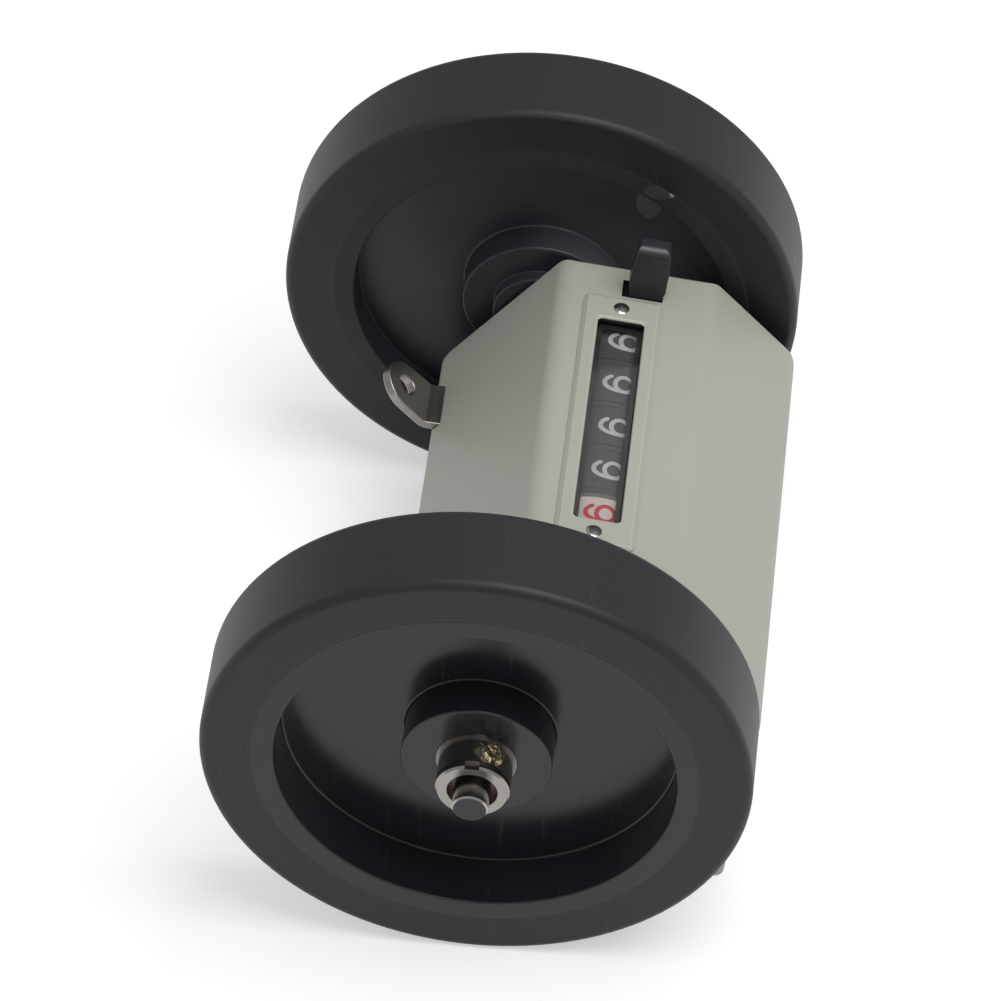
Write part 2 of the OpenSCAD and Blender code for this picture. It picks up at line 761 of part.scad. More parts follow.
module foot_spots() {
    for (y = foot_screw_ys) {
        translate([far_plate_x + plate_t + plate_foot_w / 2, y, 0]) children();
        translate([near_plate_x - plate_foot_w / 2, y, 0]) children();
    }
}

// A side plate from x on, whose foot starts at foot_x
module side_plate(x, foot_x) {
    margin = wall_t + plate_inset;
    along_x(x, plate_t) difference() {
        intersection() {
            polygon(inset(section, [for (k = [0 : 5]) margin]));
            translate([plate_front_y, base_top]) square([plate_rear_y - plate_front_y, base_depth + top_z]);
        }
        circle(bush_r + boss_wall + plate_shaft_gap);
        translate([drum_y, drum_z]) circle(drum_axle_r + push_fit);
        translate([carry_y, carry_z]) circle(pinion_axle_r + push_fit);
        translate([rocker_y, rocker_z]) circle(rocker_r + run_fit);
        for (p = rod_spots) translate(p) circle(base_screw_r);
    }
    translate([foot_x, plate_front_y + foot_front, base_top])
        cube([plate_t + plate_foot_w, plate_rear_y - plate_front_y - 2 * foot_front, plate_t]);
}

module side_plate_holes() foot_spots() translate([0, 0, base_top - over])
    cylinder(plate_t + 2 * over, r = base_screw_r);

module far_side_plate() color(plate_metal) in_housing() difference() {
    side_plate(far_plate_x, far_plate_x);
    side_plate_holes();
    rod_x(far_plate_x - over, plate_t + 2 * over, key_pin_r, [key_y, key_z]);
}

module near_side_plate() color(plate_metal) in_housing() difference() {
    side_plate(near_plate_x, near_plate_x - plate_foot_w);
    side_plate_holes();
}

module tie_rods() color(plate_metal) in_housing() difference() {
    for (p = rod_spots) rod_x(far_plate_x + plate_t, near_plate_x - far_plate_x - plate_t, rod_r, p);
    for (p = rod_spots, x = [far_plate_x, near_plate_x - screw_bite])
        rod_x(x, screw_bite + plate_t, base_screw_r, p);
}

module side_plate_screws() color(plate_metal) in_housing() {
    foot_spots() translate([0, 0, base_top + plate_t]) mirror([0, 0, 1])
        screw_up(base_screw_r, plate_t + base_t);
    for (p = rod_spots) {
        translate([far_plate_x, p[0], p[1]]) rotate([0, 90, 0]) screw_up(base_screw_r, plate_t + screw_bite);
        translate([near_plate_x + plate_t, p[0], p[1]]) rotate([0, -90, 0])
            screw_up(base_screw_r, plate_t + screw_bite);
    }
}

// An axle held in both side plates, with a clip outside each and a shoulder inside the far one
module held_axle(r, at, shoulder_r, shoulder_to) {
    rod_x(far_plate_x - clip_t, near_plate_x + plate_t - far_plate_x + 2 * clip_t, r, at);
    rod_x(far_plate_x - clip_t, clip_t, r + clip_r - drum_axle_r, at);
    rod_x(near_plate_x + plate_t, clip_t, r + clip_r - drum_axle_r, at);
    rod_x(far_plate_x + plate_t, shoulder_to - far_plate_x - plate_t, shoulder_r, at);
}

module drum_axle() color(plate_metal) in_housing()
    held_axle(drum_axle_r, [drum_y, drum_z], drum_hub_r, drum_xs[0] - drum_hub_w / 2 - end_play);

module pinion_axle() color(plate_metal) in_housing() {
    first = drum_xs[0] + (band_w + ring_t - pinion_hub_w) / 2 - end_play;
    last = drum_xs[3] + (band_w + ring_t + pinion_hub_w) / 2 + end_play;
    held_axle(pinion_axle_r, [carry_y, carry_z], carry_hub_r, first);
    rod_x(last, near_plate_x - last, carry_hub_r, [carry_y, carry_z]);
}

// Reset key and the rocker that it works

module key_pin() color(plate_metal) in_housing()
    rod_x(-inner_x - end_wall_t / 2, far_plate_x + plate_t + inner_x + end_wall_t / 2, key_pin_r,
        [key_y, key_z]);

module reset_key() color(black) in_housing() difference() {
    union() {
        intersection() {
            along_x(key_x - key_t, key_t) polygon(rounded(key_outline, key_rounds));
            // rounded top edge on the side that faces the window
            across(front_y, rear_y) polygon(rounded(
                box_points(key_x - key_t, -base_depth, key_t, base_depth + key_top),
                [0, key_edge, key_round, 0]
            ));
        }
        along_x(key_x - key_t, key_t) {
            translate([key_y, key_z]) circle(key_hub_r);
            bar([key_y, key_z], key_tail, arm_w);
        }
    }
    rod_x(key_x - key_t - over, key_t + 2 * over, key_pin_r + run_fit, [key_y, key_z]);
}

// Wire along a path: the rings of corners are joined into one closed tube
module wire(path, r) {
    n = spring_sides;
    last = len(path) - 1;
    points = [
        for (i = [0 : last])
            let (
                t = unit(path[max(0, i - 1)], path[min(last, i + 1)]),
                u = cross(t, [1, 0, 0]) / norm(cross(t, [1, 0, 0])),
                v = cross(t, u)
            )
            for (k = [0 : n - 1]) path[i] + r * (cos(360 * k / n) * u + sin(360 * k / n) * v)
    ];
    polyhedron(points, concat(
        [[for (k = [0 : n - 1]) n - 1 - k]],
        [[for (k = [0 : n - 1]) last * n + k]],
        [
            for (i = [0 : last - 1], k = [0 : n - 1], half = [0, 1])
                let (a = i * n + k, b = i * n + (k + 1) % n)
                half == 0 ? [a, b, b + n] : [a, b + n, a + n]
        ]
    ));
}

module key_spring() color(plate_metal) in_housing() {
    rise = (key_room - spring_wire - 2 * spring_gap) / spring_turns;
    wind = [
        for (k = [0 : spring_steps * spring_turns])
            let (a = 360 * k / spring_steps)
            [
                key_x + spring_gap + spring_wire / 2 + rise * k / spring_steps,
                key_y + spring_r * cos(a),
                key_z + spring_r * sin(a)
            ]
    ];
    leg = [0, 0, -spring_leg];
    end = wind[len(wind) - 1];
    wire(concat([wind[0] + leg], wind, [end + [0, spring_leg, 0]]), spring_wire / 2);
}

finger_tip = [drum_y, drum_z] + polar(finger_reach, finger_turn);
finger_elbow = [drum_y, drum_z] + polar(finger_reach + finger_elbow_out, finger_turn);

module reset_rocker() color(plate_metal) in_housing() {
    pivot = [rocker_y, rocker_z];
    rod_x(key_x - key_t, near_plate_x + plate_t + clip_t - key_x + key_t, rocker_r, pivot);
    rod_x(far_plate_x + plate_t + end_play, rocker_collar_t, rocker_collar_r, pivot);
    rod_x(near_plate_x - end_play - rocker_collar_t, rocker_collar_t, rocker_collar_r, pivot);
    for (x = drum_xs) along_x(x - band_w / 2 - cam_t / 2 - finger_t / 2, finger_t) {
        bar(pivot, finger_elbow, finger_w);
        bar(finger_elbow, finger_tip, finger_w);
        translate(pivot) circle(rocker_collar_r);
    }
    along_x(key_x - key_t, key_t) {
        bar(pivot, rocker_toe, arm_w);
        translate(pivot) circle(rocker_boss_r);
    }
}

housing_cover();
base_plate();
bezel_frame();
bezel_rivets();
window_lens();
mounting_bracket();
bracket_screws();
base_screws();
shaft_bushes();
far_side_plate();
near_side_plate();
tie_rods();
side_plate_screws();
drum_axle();
pinion_axle();
key_pin();
key_spring();
main_shaft();
near_wheel_core();
far_wheel_core();
near_tyre();
far_tyre();
near_hub_bush();
far_hub_bush();
set_screws();
tenths_wheel();
tenths_gear();
ones_wheel();
tens_wheel();
hundreds_wheel();
thousands_wheel();
carry_pinion_1();
carry_pinion_2();
carry_pinion_3();
carry_pinion_4();
reset_key();
reset_rocker();
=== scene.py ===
"""Looks of a cable length counter: two wheels on one shaft and a figure counter in a painted housing.

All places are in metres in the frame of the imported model: +X along the shaft, +Z up. The housing leans
back by LEAN, so places on it are also given in its own directions, before it leans.
"""
import math

import bpy
import numpy as np
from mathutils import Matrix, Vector


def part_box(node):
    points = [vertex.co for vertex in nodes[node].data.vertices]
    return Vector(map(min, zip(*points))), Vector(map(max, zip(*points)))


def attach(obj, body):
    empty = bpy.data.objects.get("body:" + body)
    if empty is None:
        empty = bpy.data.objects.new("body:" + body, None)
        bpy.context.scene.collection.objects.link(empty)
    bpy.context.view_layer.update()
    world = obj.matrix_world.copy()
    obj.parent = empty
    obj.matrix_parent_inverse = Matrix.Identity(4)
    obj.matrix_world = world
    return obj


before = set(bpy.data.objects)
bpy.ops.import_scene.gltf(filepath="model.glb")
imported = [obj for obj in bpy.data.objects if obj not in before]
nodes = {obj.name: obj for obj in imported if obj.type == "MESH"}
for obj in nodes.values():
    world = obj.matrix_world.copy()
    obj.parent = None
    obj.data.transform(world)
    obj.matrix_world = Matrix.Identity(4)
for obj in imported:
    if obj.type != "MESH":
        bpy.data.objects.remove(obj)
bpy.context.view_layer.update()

# The view: a long lens from above the near wheel, looking along the shaft and down, as in a catalogue
# picture. The place and turn were solved from the outlines of the two wheels.
LENS_MM = 194.75
SENSOR_MM = 36
CAMERA_AT = (0.736614, 0.076380, 0.784580)
CAMERA_TURN = (43.28099, 0.21012, 95.89914)

camera = bpy.data.objects.new("camera", bpy.data.cameras.new("camera"))
bpy.context.scene.collection.objects.link(camera)
camera.data.lens = LENS_MM
camera.data.sensor_width = SENSOR_MM
camera.data.clip_start = 0.01
camera.location = CAMERA_AT
camera.rotation_euler = [math.radians(angle) for angle in CAMERA_TURN]
bpy.context.scene.camera = camera

# Housing cover, base and window frame: bent sheet with sprayed light grey enamel, which keeps a fine
# orange peel and a little unevenness. A painted highlight makes it bright on the edges, and painted shade
# makes it dark inside the window and the key's slot, behind the frame and under the flat top.
LEAN = math.radians(7.62167)
ENAMEL = (0.395, 0.400, 0.348)
ENAMEL_SHADE = (0.365, 0.370, 0.322)
ENAMEL_EDGE_HIGHLIGHT = (0.72, 0.72, 0.66)
INNER_PAINTED_SHADE = (0.018, 0.018, 0.018)
ENAMEL_ROUND = 0.0005
PEEL_HIGH = 0.00004
WINDOW_X, WINDOW_Y = (-0.0345, 0.0211), (0.0110, 0.0210)
SLOT_X, SLOT_Y = (-0.0469, -0.0418), (0.0152, 0.0240)
FRAME_X, FRAME_Y = (-0.0362, 0.0228), (0.0092, 0.0228)
UNDERSIDE_Y, UNDERSIDE_Z = (0.0060, 0.0310), (0.0160, 0.01705)
WINDOW_RIM_Z = 0.01880
SLOT_RIM_Z = 0.01812
FRAME_BACK_Z = 0.01822


class Value:
    """A socket of a material. Arithmetic on it, with numbers or other sockets, adds Math nodes."""

    def __init__(self, finish, socket):
        self.finish = finish
        self.socket = socket

    def _math(self, operation, a, b=0.0):
        return self.finish.node("Math", {"operation": operation}, {0: a, 1: b})

    def __add__(self, other):
        return self._math("ADD", self, other)

    def __radd__(self, other):
        return self._math("ADD", other, self)

    def __sub__(self, other):
        return self._math("SUBTRACT", self, other)

    def __rsub__(self, other):
        return self._math("SUBTRACT", other, self)

    def __mul__(self, other):
        return self._math("MULTIPLY", self, other)

    def __rmul__(self, other):
        return self._math("MULTIPLY", other, self)

    def __pow__(self, other):
        return self._math("POWER", self, other)

    def __abs__(self):
        return self._math("ABSOLUTE", self)

    def __gt__(self, other):
        return self._math("GREATER_THAN", self, other)

    def __lt__(self, other):
        return self._math("LESS_THAN", self, other)

    def within(self, bounds):
        """1 between two bounds, 0 outside them."""
        return (self > bounds[0]) * (self < bounds[1])

    def clear_of(self, low, high):
        """0 below low, 1 above high, even in between."""
        limits = {"Value": self, "From Min": low, "From Max": high}
        return self.finish.node("MapRange", {"clamp": True}, limits)


class Finish:
    """A surface finish: one material round one Principled shader."""

    def __init__(self, name, **constants):
        self.material = bpy.data.materials.new(name)
        self.material.use_nodes = True
        self.tree = self.material.node_tree
        self.shader = self.tree.nodes["Principled BSDF"]
        for socket, value in constants.items():
            self.shader.inputs[socket.replace("_", " ")].default_value = value

    def node(self, kind, settings=None, inputs=None, output=0):
        """Adds a node: its settings first, then its sockets from numbers, colours or other sockets."""
        made = self.tree.nodes.new("ShaderNode" + kind)
        for key, value in (settings or {}).items():
            setattr(made, key, value)
        for key, value in (inputs or {}).items():
            if isinstance(value, Value):
                self.tree.links.new(value.socket, made.inputs[key])
            elif hasattr(value, "__len__") and len(value) == 3 and made.inputs[key].type == "RGBA":
                made.inputs[key].default_value = (*value, 1)
            else:
                made.inputs[key].default_value = value
        return Value(self, made.outputs[output])

    def feed(self, socket, value):
        """Feeds one socket of the shader."""
        self.tree.links.new(value.socket, self.shader.inputs[socket])

    def place(self, lean=0.0):
        """Where a point of the piece is, in metres, in directions that lean by an angle about X."""
        where = self.node("TexCoord", output="Object")
        return self.node("Mapping", {}, {"Vector": where, "Rotation": (lean, 0, 0)}) if lean else where

    def parts(self, vector):
        """The three numbers of a vector."""
        first = self.node("SeparateXYZ", {}, {0: vector})
        return [Value(self, output) for output in first.socket.node.outputs]

    def noise(self, scale, detail=3.0, along=(1, 1, 1), where=None):
        """Noise from 0 to 1, scale in cycles per metre, stretched by along."""
        where = self.node("Mapping", {}, {"Vector": where or self.place(), "Scale": along})
        return self.node("TexNoise", {}, {"Vector": where, "Scale": scale, "Detail": detail})

    def blend(self, share, a, b):
        """A colour between a and b by a share from 0 to 1."""
        return self.node("Mix", {"data_type": "RGBA"}, {0: share, 6: a, 7: b}, output=2)

    def rounded(self, radius):
        """The normal that an edge rounded by a radius has, and how much of an edge it is, 0 to 1."""
        normal = self.node("Bevel", {"samples": 8}, {"Radius": radius})
        flat = self.node("NewGeometry", output="Normal")
        match = self.node("VectorMath", {"operation": "DOT_PRODUCT"}, {0: normal, 1: flat}, output="Value")
        return normal, (1 - match).clear_of(0.01, 0.12)

    def relief(self, height, distance, strength=1.0, over=None):
        """Relief as the shader's normal: a height from 0 to 1 times a distance in metres."""
        inputs = {"Height": height, "Distance": distance, "Strength": strength}
        if over:
            inputs["Normal"] = over
        return self.node("Bump", {}, inputs)

    def wear(self, *names):
        """Gives the finish to CAD nodes or new pieces."""
        for name in names:
            piece = nodes.get(name) or bpy.data.objects[name]
            piece.data.materials.clear()
            piece.data.materials.append(self.material)


enamel = Finish("light_grey_enamel")
patches = enamel.noise(45.0, 4.0)
specks = enamel.noise(1500.0, 1.0).clear_of(0.72, 0.78)
x, y, z = enamel.parts(enamel.place(LEAN))
window_well = x.within(WINDOW_X) * y.within(WINDOW_Y) * (z < WINDOW_RIM_Z)
slot_well = x.within(SLOT_X) * y.within(SLOT_Y) * (z < SLOT_RIM_Z)
frame_back = x.within(FRAME_X) * y.within(FRAME_Y) * (z < FRAME_BACK_Z)
underside = y.within(UNDERSIDE_Y) * z.within(UNDERSIDE_Z)
# Painted shade: the enamel is dark inside the window and the key's slot, behind the frame and under the
# flat top.
well_shade = window_well + slot_well + frame_back + underside
soft_edge, edge = enamel.rounded(ENAMEL_ROUND)
coat = enamel.blend(patches, ENAMEL_SHADE, ENAMEL)
coat = enamel.blend(specks * 0.35, coat, ENAMEL_SHADE)
# Painted highlight: a lighter colour along the rounded edges.
coat = enamel.blend(edge * 0.8, coat, ENAMEL_EDGE_HIGHLIGHT)
enamel.feed("Base Color", enamel.blend(well_shade, coat, INNER_PAINTED_SHADE))
enamel.feed("Roughness", 0.38 + patches * 0.14)
enamel.feed("Normal", enamel.relief(enamel.noise(1100.0, 2.0), PEEL_HIGH, 0.45, soft_edge))
enamel.wear("housing_cover", "bezel_frame", "base_plate")

# Wheel cores: moulded in glossy black plastic, with a dull face on the rim and thin marks of handling.
# The far one is duller, and painted light makes its web lighter. It has dust on the inside of its web and
# keeps the scar of its gate there: a patch on the rim, a lobe deeper than WEB_X and a bright torn fleck.
RIM_R = 0.0386
RIM_INNER_X, RIM_OUTER_X = 0.0547, 0.0728
HUB_R = 0.0152
FAR_SIDE_X = -0.05
FAR_INSIDE_X = (-0.0614, -0.0530)
WEB_X = -0.0565
GATE_AT, GATE_SCALE = (0.0242, 0.0342), (300, 480)
LOBE_AT, LOBE_SCALE = (0.0216, 0.0252), (370, 205)
FLECK_AT, FLECK_SCALE = (0.0266, 0.0335), (1900, 1300)
DUST_Z, DUST_Y = (0.008, 0.031), (-0.004, 0.018)
CORE_GLOSSY = (0.0128, 0.0142, 0.0175)
CORE_RIM = (0.0118, 0.0122, 0.0140)
CORE_FAR_PAINTED_LIGHT = (0.0210, 0.0225, 0.0275)
CORE_DUST = (0.125, 0.130, 0.140)
CORE_SCUFF = (0.10, 0.10, 0.105)
SCAR_PALE = (0.135, 0.122, 0.121)
FLECK_BRIGHT = (0.40, 0.39, 0.38)
CORE_ROUND = 0.0004
RIPPLE_HIGH = 0.00012
SCAR_HIGH = 0.0008


def oval(y, z, middle, scale):
    """0 in the middle of an oval, 1 on its edge: the distances from the middle in Y and Z, each times its
    scale, squared and added. A scale is one over a half size in metres."""
    return ((y - middle[0]) * scale[0]) ** 2 + ((z - middle[1]) * scale[1]) ** 2


core = Finish("glossy_black_core", Specular_IOR_Level=0.42)
x, y, z = core.parts(core.place())
r = (y * y + z * z) ** 0.5
haze = core.noise(60.0, 5.0)
scuffs = core.noise(70.0, 6.0, (1, 9, 1)).clear_of(0.62, 0.80)
rim_face = ((abs(x) > RIM_OUTER_X) + (abs(x) < RIM_INNER_X)) * (r > RIM_R)
far = x < FAR_SIDE_X
far_inside = x.within(FAR_INSIDE_X)
ragged = core.noise(650.0, 3.0) * 0.5 - 0.25
gate = oval(y, z, GATE_AT, GATE_SCALE) < 1 + ragged * 2
lobe = (oval(y, z, LOBE_AT, LOBE_SCALE) < 1 + ragged * 0.6) * (x < WEB_X)
fleck = (oval(y, z, FLECK_AT, FLECK_SCALE) < 1 + ragged * 2) * far_inside
scar = (gate * 0.22 + lobe * 0.9 + fleck).clear_of(0, 1) * far_inside
low_on_web = (1 - z.clear_of(*DUST_Z)) * y.clear_of(*DUST_Y)
settled = far_inside * (r > HUB_R) * (1 - rim_face) * low_on_web
rough_scar = core.noise(900.0, 3.0)
shade = core.blend(rim_face * 0.8, CORE_GLOSSY, CORE_RIM)
# Painted light: the far core's web gets a lighter colour.
shade = core.blend(far * (1 - rim_face), shade, CORE_FAR_PAINTED_LIGHT)
shade = core.blend(settled * (0.7 + haze * 0.4), shade, CORE_DUST)
shade = core.blend(scar * 0.8, shade, SCAR_PALE)
shade = core.blend(fleck * rough_scar, shade, FLECK_BRIGHT)
core.feed("Base Color", core.blend(scuffs * 0.14, shade, CORE_SCUFF))
dull = haze * 0.08 + scuffs * 0.15 + rim_face * 0.17 + scar * 0.25 + far * 0.20
core.feed("Roughness", 0.17 + dull)
soft_edge, _ = core.rounded(CORE_ROUND)
ripple = core.relief(core.noise(35.0, 1.0), RIPPLE_HIGH, 0.35, soft_edge)
core.feed("Normal", core.relief(rough_scar * scar, SCAR_HIGH, 0.9, ripple))
core.wear("near_wheel_core", "far_wheel_core")

# Tyres: charcoal rubber moulded round the cores, satin, a little cloudy and nicked, and paler on the
# tread, from rubbing and from painted light. A faint line runs round each side, close to the core.
SIDE_LINE_R = 0.0434
SIDE_LINE_FADE = (0.0001, 0.0002)
TREAD_R = 0.0520
RUBBER = (0.0085, 0.0087, 0.0104)
RUBBER_CLOUD = (0.0122, 0.0126, 0.0146)
RUBBER_TREAD_WEAR_AND_LIGHT = (0.0240, 0.0242, 0.0280)
RUBBER_RUBBED = (0.085, 0.085, 0.090)
RUBBER_NICK = (0.006, 0.006, 0.006)
GRAIN_HIGH = 0.00003

tyre = Finish("charcoal_tyre", Specular_IOR_Level=0.34)
x, y, z = tyre.parts(tyre.place())
r = (y * y + z * z) ** 0.5
cloud = tyre.noise(32.0, 5.0)
grain = tyre.noise(1400.0, 2.0)
marks = tyre.noise(120.0, 6.0, (1, 6, 1)).clear_of(0.66, 0.80)
nicks = tyre.noise(420.0, 2.0).clear_of(0.74, 0.78)
side_line = 1 - abs(r - SIDE_LINE_R).clear_of(*SIDE_LINE_FADE)
tread = r > TREAD_R
shade = tyre.blend(cloud, RUBBER, RUBBER_CLOUD)
# Paler on the tread: rubbing wear and painted light.
shade = tyre.blend(tread * 0.6, shade, RUBBER_TREAD_WEAR_AND_LIGHT)
shade = tyre.blend(marks * 0.16 + side_line * 0.10, shade, RUBBER_RUBBED)
tyre.feed("Base Color", tyre.blend(nicks * 0.7, shade, RUBBER_NICK))
tyre.feed("Roughness", 0.36 + cloud * 0.10 + tread * 0.07 - marks * 0.08)
tyre.feed("Normal", tyre.relief(grain - nicks * 3, GRAIN_HIGH, 0.5))
tyre.wear("near_tyre", "far_tyre")

# Hub bushes: turned steel with a dull nickel plating, moulded into the cores. The end ring and the
# disc keep fine rings from the lathe, and the counterbore is stained brown. The collar is staked round
# its set screw and has a dot of green paint beside it.
BORE_R, BORE_X = 0.00505, 0.0776
FLANGE_R, FLANGE_X = 0.00718, 0.0690
COLLAR_R, COLLAR_X = 0.0065, 0.0760
SCREW_AT = (0.0735, 0.00357, 0.0062)
STAKED_R = 0.0033
PAINT_AT = (0.0738, 0.0008, 0.00706)
PAINT_R = 0.00085
NICKEL, NICKEL_BRIGHT = (0.27, 0.254, 0.238), (0.38, 0.36, 0.34)
FLANGE_DARK = (0.085, 0.080, 0.076)
STAKED_BROWN = (0.085, 0.070, 0.042)
PAINT_GREEN = (0.055, 0.085, 0.038)
BORE_BROWN = (0.20, 0.145, 0.11)
RING_HIGH = 0.00001
STAKED_HIGH = 0.0004


def apart(place, point):
    """How far a place is from a point: the root of the squares of the differences, added."""
    return sum((a - b) ** 2 for a, b in zip(place, point)) ** 0.5


bush = Finish("nickel_plated_bush")
x, y, z = bush.parts(bush.place())
r = (y * y + z * z) ** 0.5
turned = bush.node("CombineXYZ", {}, {0: r, 1: x})
rings = bush.noise(5200.0, 2.0, where=turned)
stain = bush.noise(420.0, 4.0)
chips = bush.noise(1900.0, 3.0)
bore = (r < BORE_R) * (abs(x) < BORE_X)
flange = (r > FLANGE_R) * (abs(x) > FLANGE_X)
staked = (apart((abs(x), y, z), SCREW_AT) < STAKED_R) * (r > COLLAR_R) * (abs(x) < COLLAR_X)
paint_dot = (apart((abs(x), y, z), PAINT_AT) < PAINT_R) * (r > COLLAR_R)
shade = bush.blend(stain, NICKEL, NICKEL_BRIGHT)
shade = bush.blend(flange * 0.6, shade, FLANGE_DARK)
shade = bush.blend(staked * stain.clear_of(0.3, 0.6), shade, STAKED_BROWN)
shade = bush.blend(paint_dot, shade, PAINT_GREEN)
bush.feed("Base Color", bush.blend(bore * 0.85, shade, BORE_BROWN))
bush.feed("Metallic", 1 - paint_dot)
bush.feed("Roughness", 0.16 + stain * 0.14 + bore * 0.15 + staked * 0.12)
bush.feed("Normal", bush.relief(chips * staked, STAKED_HIGH, 0.7, bush.relief(rings, RING_HIGH, 0.5)))
bush.wear("near_hub_bush", "far_hub_bush")

# Set screws: soft slotted brass, screwed into the collars and chewed by the screwdriver, so that bright
# metal shows beside dark dents.
BRASS_DENT, BRASS_BRIGHT = (0.16, 0.125, 0.07), (0.72, 0.62, 0.42)
CHEWED_HIGH = 0.0007

brass = Finish("worn_brass", Metallic=1.0)
chewed = brass.noise(1100.0, 4.0)
brass.feed("Base Color", brass.blend(chewed.clear_of(0.35, 0.65), BRASS_DENT, BRASS_BRIGHT))
brass.feed("Roughness", 0.24 + chewed * 0.2)
brass.feed("Normal", brass.relief(chewed, CHEWED_HIGH, 0.8))
brass.wear("set_screws")

# Main shaft: ground steel with the drive pinion cut on it, bright on its round faces and dull dark grey
# on the ends, where it was cut off.
CUT_X, CUT_R = 0.08233, 0.00318
STEEL, STEEL_BRIGHT = (0.36, 0.34, 0.32), (0.50, 0.48, 0.46)
CUT_GREY = (0.062, 0.062, 0.066)

steel = Finish("ground_shaft", Metallic=1.0)
x, y, z = steel.parts(steel.place())
r = (y * y + z * z) ** 0.5
turned = steel.node("CombineXYZ", {}, {0: r, 1: x})
rings = steel.noise(6500.0, 2.0, where=turned)
stain = steel.noise(600.0, 4.0)
cut_end = (abs(x) > CUT_X) * (r < CUT_R)
shade = steel.blend(stain, STEEL, STEEL_BRIGHT)
steel.feed("Base Color", steel.blend(cut_end, shade, CUT_GREY))
steel.feed("Roughness", 0.17 + stain * 0.10 + cut_end * 0.30)
steel.feed("Normal", steel.relief(rings, RING_HIGH, 0.6))
steel.wear("main_shaft")

# Bracket, side plates, screws, rods and spring: steel with a dull nickel plating, cut, bent or coiled,
# drawn along X, and bright on its edges from a painted highlight.
PLATED, PLATED_LIGHT = (0.275, 0.255, 0.240), (0.365, 0.345, 0.325)
PLATED_EDGE_HIGHLIGHT = (0.66, 0.63, 0.60)
PLATE_ROUND = 0.00035
DRAWN_HIGH = 0.00002

plate = Finish("dull_nickel_plate", Metallic=1.0)
stain = plate.noise(160.0, 5.0)
drawn = plate.noise(900.0, 3.0, (0.12, 1, 1))
soft_edge, edge = plate.rounded(PLATE_ROUND)
shade = plate.blend(stain, PLATED, PLATED_LIGHT)
# Painted highlight: a lighter colour along the rounded edges.
plate.feed("Base Color", plate.blend(edge * 0.7, shade, PLATED_EDGE_HIGHLIGHT))
plate.feed("Roughness", 0.24 + drawn * 0.16)
plate.feed("Normal", plate.relief(drawn, DRAWN_HIGH, 0.5, soft_edge))
plate.wear(
    "mounting_bracket", "bracket_screws", "base_screws", "far_side_plate", "near_side_plate", "tie_rods",
    "side_plate_screws", "drum_axle", "pinion_axle", "key_pin", "key_spring", "reset_rocker",
)

# Shaft bushes, tenths gear and carry pinions: turned or cut from plain bronze, a little tarnished, with
# the fine marks of the cutter.
BRONZE_DARK, BRONZE = (0.30, 0.19, 0.085), (0.52, 0.35, 0.17)
CUTTER_HIGH = 0.00001

bronze = Finish("tarnished_bronze", Metallic=1.0)
tarnish = bronze.noise(380.0, 5.0)
bronze.feed("Base Color", bronze.blend(tarnish, BRONZE_DARK, BRONZE))
bronze.feed("Roughness", 0.26 + tarnish * 0.2)
bronze.feed("Normal", bronze.relief(bronze.noise(2500.0, 2.0), CUTTER_HIGH, 0.5))
bronze.wear(
    "shaft_bushes", "tenths_gear", "carry_pinion_1", "carry_pinion_2", "carry_pinion_3", "carry_pinion_4",
)

# Rivets of the frame: nickelled steel, one beyond each end of the window, bright round the edge of a
# dull flat head whose dark colour is a painted reflection.
FAR_RIVET, NEAR_RIVET = (-0.0375, 0.0160), (0.0241, 0.0160)
HEAD_FLAT_R = 0.00128
RIVET_BRIGHT = (0.42, 0.41, 0.39)
HEAD_DARK_REFLECTION, HEAD_DARK_REFLECTION_WORN = (0.085, 0.085, 0.083), (0.135, 0.133, 0.128)
HEAD_HIGH = 0.00002

rivet = Finish("dull_headed_rivet", Metallic=1.0)
x, y, z = rivet.parts(rivet.place(LEAN))
worn = rivet.noise(900.0, 4.0)
flat_head = (apart((x, y), FAR_RIVET) < HEAD_FLAT_R) + (apart((x, y), NEAR_RIVET) < HEAD_FLAT_R)
# Painted reflection: the flat head is coloured dark, a little unevenly.
rivet.feed("Base Color", rivet.blend(flat_head, RIVET_BRIGHT, rivet.blend(worn, HEAD_DARK_REFLECTION, HEAD_DARK_REFLECTION_WORN)))
rivet.feed("Roughness", 0.24 + flat_head * 0.26)
rivet.feed("Normal", rivet.relief(worn, HEAD_HIGH, 0.5))
rivet.wear("bezel_rivets")

# Number wheels: four moulded in dull black and the last one in off-white, all with a fine matt skin.
# The white one has a dark margin beside its neighbour.
BLACK_BAND, BLACK_BAND_DUSTY = (0.078, 0.078, 0.079), (0.105, 0.104, 0.102)
WHITE_BAND_DUSTY, WHITE_BAND = (0.66, 0.555, 0.525), (0.74, 0.64, 0.605)
MARGIN_X = 0.0118
MARGIN_DARK = (0.12, 0.12, 0.115)
SKIN_HIGH = 0.00001

black_wheel = Finish("black_number_wheel")
dust = black_wheel.noise(260.0, 5.0)
black_wheel.feed("Base Color", black_wheel.blend(dust, BLACK_BAND, BLACK_BAND_DUSTY))
black_wheel.feed("Roughness", 0.40 + dust * 0.15)
black_wheel.feed("Normal", black_wheel.relief(black_wheel.noise(2200.0, 2.0), SKIN_HIGH, 0.5))
black_wheel.wear("ones_wheel", "tens_wheel", "hundreds_wheel", "thousands_wheel")

white_wheel = Finish("white_number_wheel")
x, y, z = white_wheel.parts(white_wheel.place())
dust = white_wheel.noise(260.0, 5.0)
shade = white_wheel.blend(dust, WHITE_BAND_DUSTY, WHITE_BAND)
white_wheel.feed("Base Color", white_wheel.blend((x < MARGIN_X) * 0.9, shade, MARGIN_DARK))
white_wheel.feed("Roughness", 0.42 + dust * 0.15)
white_wheel.feed("Normal", white_wheel.relief(white_wheel.noise(2200.0, 2.0), SKIN_HIGH, 0.5))
white_wheel.wear("tenths_wheel")

